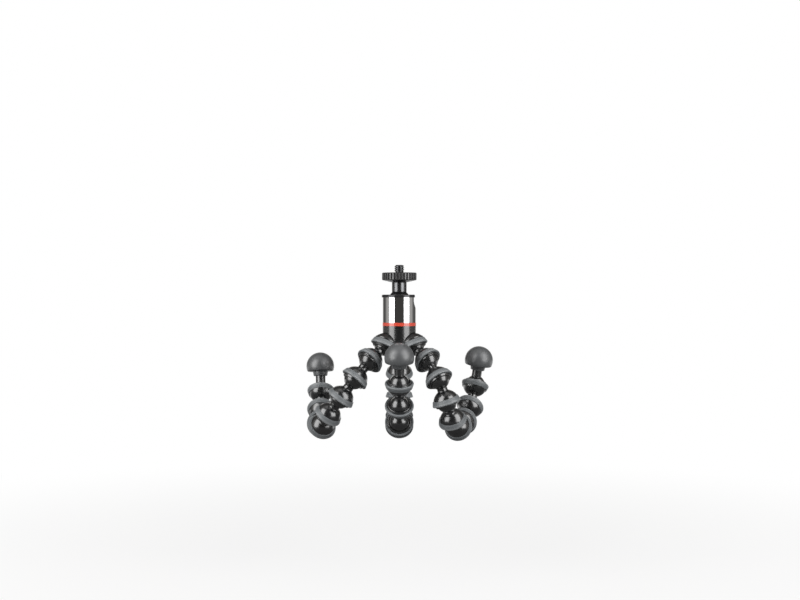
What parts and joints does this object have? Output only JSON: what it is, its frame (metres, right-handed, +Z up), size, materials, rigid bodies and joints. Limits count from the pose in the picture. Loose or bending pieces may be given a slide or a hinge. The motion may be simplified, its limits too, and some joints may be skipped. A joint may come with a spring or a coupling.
{
  "type": "flexible leg tripod",
  "caption": "Small flexible tripod with ball-jointed legs wrapped to grip a rail, rubber grip rings and feet, a notched ball head and a ribbed wheel that locks a camera on its stud.",
  "frame": {"origin": "middle of the camera seat, on the head axis at the top of the lock wheel", "axes": "+Z up along the camera stud, +X to the right along the rail that the legs wrap, -Y towards the viewer"},
  "size_m": [0.1261, 0.0875, 0.1138],
  "materials": {
    "link_plastic": "semi-gloss moulded plastic",
    "grip_rubber": "matte moulded rubber",
    "foot_rubber": "matte moulded rubber",
    "hub_plastic": "satin moulded plastic",
    "sleeve_chrome": "polished plate",
    "accent_plastic": "satin coloured plastic",
    "seat_plastic": "plain bearing plastic",
    "collar_metal": "black anodised, satin gloss",
    "ball_metal": "black anodised, glossy",
    "stem_metal": "black anodised, glossy",
    "wheel_metal": "black anodised, satin gloss"
  },
  "bodies": {
    "hub": {"chrome_sleeve": "sleeve_chrome", "accent_ring": "accent_plastic", "hub": "hub_plastic", "hub_grip_rings": "grip_rubber", "ball_seat": "seat_plastic", "top_collar": "collar_metal"},
    "head_ball": {"head_ball": "ball_metal"},
    "stem": {"ball_stem": "stem_metal"},
    "wheel": {"lock_wheel": "wheel_metal"},
    "left_link_1": {"left_link_1": "link_plastic", "left_grip_ring_1": "grip_rubber"},
    "left_link_2": {"left_link_2": "link_plastic", "left_grip_ring_2": "grip_rubber"},
    "left_link_3": {"left_link_3": "link_plastic", "left_grip_ring_3": "grip_rubber"},
    "left_link_4": {"left_link_4": "link_plastic", "left_grip_ring_4": "grip_rubber"},
    "left_link_5": {"left_link_5": "link_plastic", "left_grip_ring_5": "grip_rubber"},
    "left_link_6": {"left_link_6": "link_plastic", "left_grip_ring_6": "grip_rubber"},
    "left_link_7": {"left_link_7": "link_plastic", "left_grip_ring_7": "grip_rubber"},
    "left_link_8": {"left_link_8": "link_plastic", "left_grip_ring_8": "grip_rubber"},
    "left_foot": {"left_foot": "foot_rubber"},
    "right_link_1": {"right_link_1": "link_plastic", "right_grip_ring_1": "grip_rubber"},
    "right_link_2": {"right_link_2": "link_plastic", "right_grip_ring_2": "grip_rubber"},
    "right_link_3": {"right_link_3": "link_plastic", "right_grip_ring_3": "grip_rubber"},
    "right_link_4": {"right_link_4": "link_plastic", "right_grip_ring_4": "grip_rubber"},
    "right_link_5": {"right_link_5": "link_plastic", "right_grip_ring_5": "grip_rubber"},
    "right_link_6": {"right_link_6": "link_plastic", "right_grip_ring_6": "grip_rubber"},
    "right_link_7": {"right_link_7": "link_plastic", "right_grip_ring_7": "grip_rubber"},
    "right_link_8": {"right_link_8": "link_plastic", "right_grip_ring_8": "grip_rubber"},
    "right_foot": {"right_foot": "foot_rubber"},
    "back_link_1": {"back_link_1": "link_plastic", "back_grip_ring_1": "grip_rubber"},
    "back_link_2": {"back_link_2": "link_plastic", "back_grip_ring_2": "grip_rubber"},
    "back_link_3": {"back_link_3": "link_plastic", "back_grip_ring_3": "grip_rubber"},
    "back_link_4": {"back_link_4": "link_plastic", "back_grip_ring_4": "grip_rubber"},
    "back_link_5": {"back_link_5": "link_plastic", "back_grip_ring_5": "grip_rubber"},
    "back_link_6": {"back_link_6": "link_plastic", "back_grip_ring_6": "grip_rubber"},
    "back_link_7": {"back_link_7": "link_plastic", "back_grip_ring_7": "grip_rubber"},
    "back_link_8": {"back_link_8": "link_plastic", "back_grip_ring_8": "grip_rubber"},
    "back_foot": {"back_foot": "foot_rubber"}
  },
  "joints": [
    {"name": "head_tilt", "type": "hinge", "parent": "hub", "child": "head_ball", "pos_m": [0, 0, -0.01784], "axis": [0, 1, 0], "range_deg": [-17, 90]},
    {"name": "head_pan", "type": "hinge", "parent": "head_ball", "child": "stem", "pos_m": [0, 0, -0.01784], "axis": [0, 0, 1], "continuous": true},
    {"name": "wheel_turn", "type": "hinge", "parent": "stem", "child": "wheel", "pos_m": [0, 0, 0], "axis": [0, 0, 1], "continuous": true},
    {"name": "left_bend_1", "type": "hinge", "parent": "hub", "child": "left_link_1", "pos_m": [-0.00953, -0.0055, -0.04714], "axis": [-0.7042, 0.6974, 0.1331], "range_deg": [-36, 11]},
    {"name": "left_bend_2", "type": "hinge", "parent": "left_link_1", "child": "left_link_2", "pos_m": [-0.01895, -0.01325, -0.05638], "axis": [-0.7824, 0.3019, 0.5447], "range_deg": [-20, 55]},
    {"name": "left_bend_3", "type": "hinge", "parent": "left_link_2", "child": "left_link_3", "pos_m": [-0.02837, -0.01698, -0.06784], "axis": [0.7878, -0.1666, -0.593], "range_deg": [-57, 18]},
    {"name": "left_bend_4", "type": "hinge", "parent": "left_link_3", "child": "left_link_4", "pos_m": [-0.03736, -0.01568, -0.08015], "axis": [-0.8079, -0.0094, 0.5892], "range_deg": [-19, 56]},
    {"name": "left_bend_5", "type": "hinge", "parent": "left_link_4", "child": "left_link_5", "pos_m": [-0.04569, -0.00966, -0.09148], "axis": [0.7566, -0.1502, -0.6364], "range_deg": [-67, 8]},
    {"name": "left_bend_6", "type": "hinge", "parent": "left_link_5", "child": "left_link_6", "pos_m": [-0.05016, 0.00247, -0.09967], "axis": [-0.9354, -0.1207, 0.3325], "range_deg": [-2, 73]},
    {"name": "left_bend_7", "type": "hinge", "parent": "left_link_6", "child": "left_link_7", "pos_m": [-0.05203, 0.01766, -0.0994], "axis": [0.9874, 0.123, -0.0992], "range_deg": [-69, 6]},
    {"name": "left_bend_8", "type": "hinge", "parent": "left_link_7", "child": "left_link_8", "pos_m": [-0.05283, 0.03061, -0.0913], "axis": [-0.9975, -0.0699, 0.0131], "range_deg": [-19, 56]},
    {"name": "left_bend_9", "type": "hinge", "parent": "left_link_8", "child": "left_foot", "pos_m": [-0.05336, 0.04044, -0.07959], "axis": [0.9993, 0.0148, 0.0332], "range_deg": [-69, 6]},
    {"name": "right_bend_1", "type": "hinge", "parent": "hub", "child": "right_link_1", "pos_m": [0.00953, -0.0055, -0.04714], "axis": [-0.8014, -0.5596, -0.2111], "range_deg": [-27, 9]},
    {"name": "right_bend_2", "type": "hinge", "parent": "right_link_1", "child": "right_link_2", "pos_m": [0.01808, -0.01431, -0.05627], "axis": [-0.691, -0.7212, 0.0486], "range_deg": [-26, 49]},
    {"name": "right_bend_3", "type": "hinge", "parent": "right_link_2", "child": "right_link_3", "pos_m": [0.02503, -0.02174, -0.0677], "axis": [0.8833, 0.3551, 0.306], "range_deg": [-72, 3]},
    {"name": "right_bend_4", "type": "hinge", "parent": "right_link_3", "child": "right_link_4", "pos_m": [0.02976, -0.02097, -0.08223], "axis": [-0.951, 0.0263, -0.308], "range_deg": [-9, 66]},
    {"name": "right_bend_5", "type": "hinge", "parent": "right_link_4", "child": "right_link_5", "pos_m": [0.03397, -0.01296, -0.09456], "axis": [0.9577, -0.2222, 0.1831], "range_deg": [-71, 4]},
    {"name": "right_bend_6", "type": "hinge", "parent": "right_link_5", "child": "right_link_6", "pos_m": [0.03819, 0.00067, -0.10007], "axis": [-0.9604, 0.2708, -0.0649], "range_deg": [-8, 67]},
    {"name": "right_bend_7", "type": "hinge", "parent": "right_link_6", "child": "right_link_7", "pos_m": [0.04215, 0.01527, -0.09776], "axis": [0.9367, -0.2097, -0.2805], "range_deg": [-67, 8]},
    {"name": "right_bend_8", "type": "hinge", "parent": "right_link_7", "child": "right_link_8", "pos_m": [0.04738, 0.02628, -0.08852], "axis": [-0.9301, 0.3511, 0.1083], "range_deg": [-10, 65]},
    {"name": "right_bend_9", "type": "hinge", "parent": "right_link_8", "child": "right_foot", "pos_m": [0.05108, 0.03184, -0.07476], "axis": [0.9588, -0.2317, -0.1642], "range_deg": [-67, 8]},
    {"name": "back_bend_1", "type": "hinge", "parent": "hub", "child": "back_link_1", "pos_m": [0, 0.011, -0.04714], "axis": [1, 0, 0], "range_deg": [-38, 0]},
    {"name": "back_bend_2", "type": "hinge", "parent": "back_link_1", "child": "back_link_2", "pos_m": [0, 0.02475, -0.05385], "axis": [1, 0, 0], "range_deg": [-4, 72]},
    {"name": "back_bend_3", "type": "hinge", "parent": "back_link_2", "child": "back_link_3", "pos_m": [0, 0.0324, -0.0671], "axis": [-1, 0, 0], "range_deg": [-72, 4]},
    {"name": "back_bend_4", "type": "hinge", "parent": "back_link_3", "child": "back_link_4", "pos_m": [0, 0.03133, -0.08236], "axis": [1, 0, 0], "range_deg": [-2, 73]},
    {"name": "back_bend_5", "type": "hinge", "parent": "back_link_4", "child": "back_link_5", "pos_m": [0, 0.02171, -0.09425], "axis": [-1, 0, 0], "range_deg": [-68, 5]},
    {"name": "back_bend_6", "type": "hinge", "parent": "back_link_5", "child": "back_link_6", "pos_m": [0, 0.00742, -0.09974], "axis": [1, 0, 0], "range_deg": [-2, 73]},
    {"name": "back_bend_7", "type": "hinge", "parent": "back_link_6", "child": "back_link_7", "pos_m": [0, -0.00742, -0.09603], "axis": [-1, 0, 0], "range_deg": [-70, 5]},
    {"name": "back_bend_8", "type": "hinge", "parent": "back_link_7", "child": "back_link_8", "pos_m": [0, -0.01805, -0.08503], "axis": [1, 0, 0], "range_deg": [-8, 61]},
    {"name": "back_bend_9", "type": "hinge", "parent": "back_link_8", "child": "back_foot", "pos_m": [0, -0.02328, -0.07065], "axis": [-1, 0, 0], "range_deg": [-49, 19]}
  ]
}
